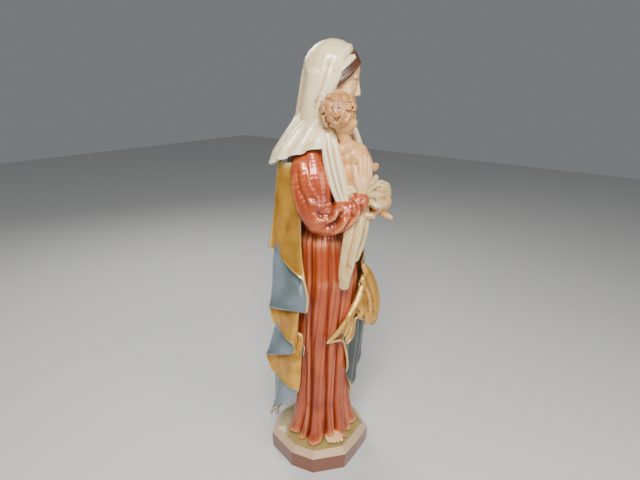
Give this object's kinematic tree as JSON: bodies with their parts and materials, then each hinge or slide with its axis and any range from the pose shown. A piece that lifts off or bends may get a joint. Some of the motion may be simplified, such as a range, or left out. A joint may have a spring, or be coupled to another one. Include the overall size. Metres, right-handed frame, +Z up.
{
  "type": "madonna statue",
  "caption": "Carved and painted wooden standing madonna holding a seated child, on a faceted plinth.",
  "frame": {"origin": "middle of the plinth's flat underside", "axes": "+Z up, -Y the way her body faces, +X her left"},
  "size_m": [0.1454, 0.1572, 0.6],
  "materials": {
    "cream_paint": "ivory paint under gloss varnish",
    "blue_paint": "blue-grey glaze over silver leaf, varnished",
    "gilding": "aged gilding, varnished",
    "red_paint": "copper-red lustre paint, varnished",
    "flesh_paint": "flesh tone paint, semi-gloss",
    "hair_paint": "dark brown paint, semi-gloss",
    "child_hair_paint": "light brown paint, semi-gloss",
    "ground_paint": "olive-gold and red-brown paint, gloss",
    "bare_wood": "unpainted limewood",
    "steel": "zinc-plated wood screws"
  },
  "bodies": {
    "root": {"child_head": "child_hair_paint", "child_left_arm": "flesh_paint", "child_left_leg": "flesh_paint", "child_neck_peg": "bare_wood", "child_right_arm": "flesh_paint", "child_right_leg": "flesh_paint", "child_seat_peg": "bare_wood", "child_torso": "flesh_paint", "cloth_tail": "cream_paint", "cloth_wrap": "cream_paint", "hair": "hair_paint", "head": "flesh_paint", "left_hand": "flesh_paint", "left_sleeve_fore": "red_paint", "left_sleeve_upper": "red_paint", "left_wrist_peg": "bare_wood", "mantle_back": "blue_paint", "mantle_front_panel": "blue_paint", "mantle_right_cascade": "gilding", "mantle_turned_edge": "gilding", "neck": "flesh_paint", "neck_dowel": "bare_wood", "plinth": "ground_paint", "plinth_dowel": "bare_wood", "plinth_screws": "steel", "right_foot": "flesh_paint", "right_hand": "flesh_paint", "right_sleeve_fore": "red_paint", "right_sleeve_upper": "red_paint", "right_wrist_peg": "bare_wood", "tunic_bodice": "red_paint", "tunic_skirt": "red_paint", "veil_cape": "cream_paint", "veil_hood": "cream_paint", "veil_left_fall": "cream_paint", "veil_right_fall": "cream_paint", "waist_dowel": "bare_wood"}
  },
  "joints": []
}
